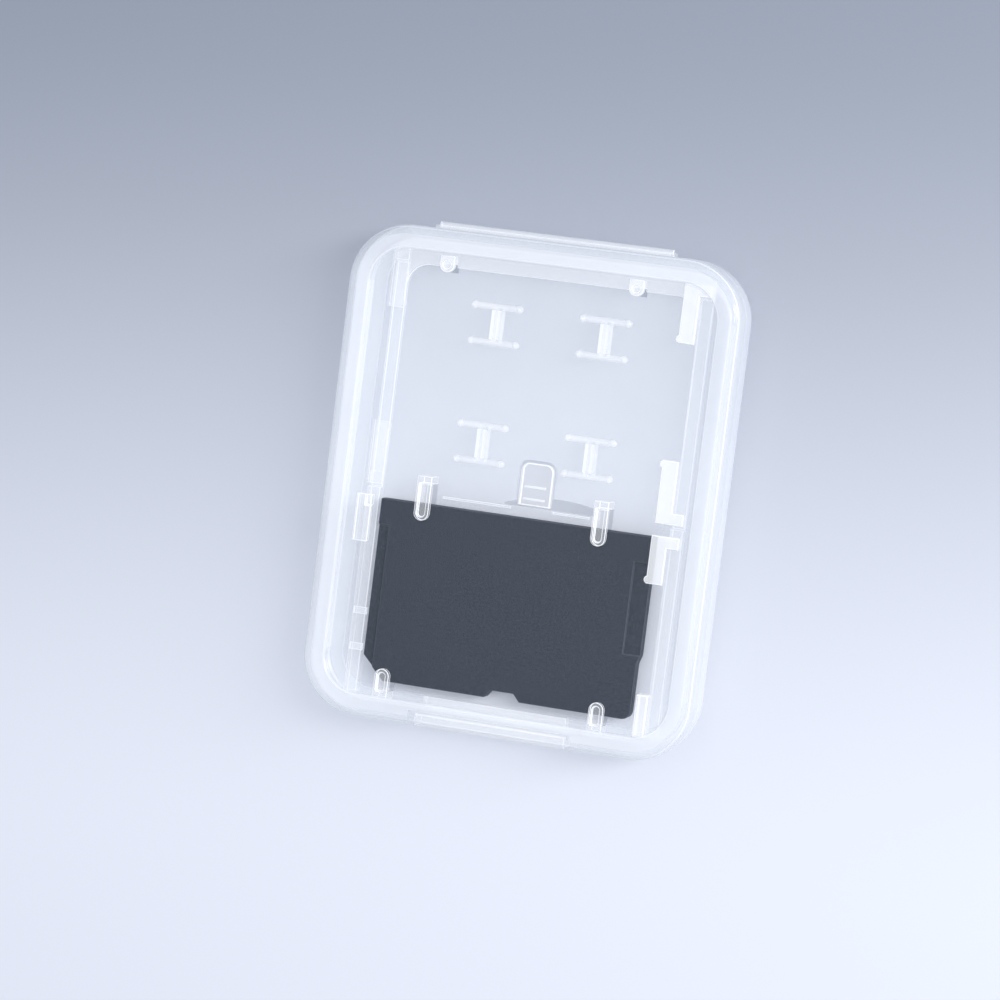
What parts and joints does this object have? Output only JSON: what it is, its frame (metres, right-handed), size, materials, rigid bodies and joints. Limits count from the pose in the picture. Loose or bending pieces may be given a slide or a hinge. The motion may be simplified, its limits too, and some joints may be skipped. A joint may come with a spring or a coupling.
{
  "type": "memory card case",
  "caption": "Flat translucent pocket case for memory cards: hinged half shells with a snap tab, a wide bay holding a dark card under fingers, and small bays between I-shaped posts.",
  "frame": {"origin": "middle of the whole closed case seen from the front, hinge included, on the plane that its back lies on", "axes": "+X across the width to the right seen from the front, +Y along the length from the snap tab to the hinge, +Z out of the front; the case lies on its back"},
  "size_m": [0.0438, 0.0548, 0.007],
  "materials": {
    "frosted_plastic": "milky translucent polypropylene, softly frosted",
    "clear_plastic": "clear polypropylene with a light haze, smooth",
    "card_plastic": "dark slate plastic with a fine matte grain",
    "contact_metal": "gold-coloured plating, satin"
  },
  "bodies": {
    "tray": {"rear_shell": "frosted_plastic", "closing_lip": "frosted_plastic", "hinge_bead": "clear_plastic", "rear_hinge_leaf": "clear_plastic", "left_rail": "frosted_plastic", "right_rail": "frosted_plastic", "top_ledge": "frosted_plastic", "middle_ledge": "frosted_plastic", "card_rests": "frosted_plastic", "post_upper_left": "clear_plastic", "post_upper_right": "clear_plastic", "post_lower_left": "clear_plastic", "post_lower_right": "clear_plastic", "top_finger_left": "clear_plastic", "top_finger_right": "clear_plastic", "middle_finger_left": "clear_plastic", "middle_finger_right": "clear_plastic", "lower_finger_left": "clear_plastic", "lower_finger_right": "clear_plastic", "upper_hook_left": "clear_plastic", "upper_hook_right": "clear_plastic", "middle_hook_left": "clear_plastic", "middle_hook_right": "clear_plastic", "card_guide_left": "clear_plastic", "card_hook_right": "clear_plastic", "corner_stop_left": "frosted_plastic", "corner_stop_right": "frosted_plastic"},
    "lid": {"front_shell": "clear_plastic", "front_hinge_leaf": "clear_plastic", "latch_keeper": "clear_plastic"},
    "latch": {"latch_tab": "clear_plastic", "latch_rib": "clear_plastic"},
    "tongue": {"release_tongue": "clear_plastic"},
    "card": {"card_front_cover": "card_plastic", "card_back_cover": "card_plastic", "card_contacts": "contact_metal"}
  },
  "joints": [
    {"name": "lid_hinge", "type": "hinge", "parent": "tray", "child": "lid", "pos_m": [0, 0.02701, 0.0035], "axis": [-1, 0, 0], "range_deg": [0, 180]},
    {"name": "latch_flex", "type": "hinge", "parent": "tray", "child": "latch", "pos_m": [0, -0.02687, 0.0035], "axis": [1, 0, 0], "range_deg": [0, 6], "stiffness_Nm_per_rad": 0.02, "springref_deg": -1.15},
    {"name": "tongue_flex", "type": "hinge", "parent": "tray", "child": "tongue", "pos_m": [0.00065, -0.00237, 0.0013], "axis": [-1, 0, 0], "range_deg": [0, 6], "stiffness_Nm_per_rad": 0.01, "springref_deg": -1.15},
    {"name": "card_play", "type": "slide", "parent": "tray", "child": "card", "axis": [0, 1, 0], "range_m": [-0.0009, 0.0006]}
  ]
}
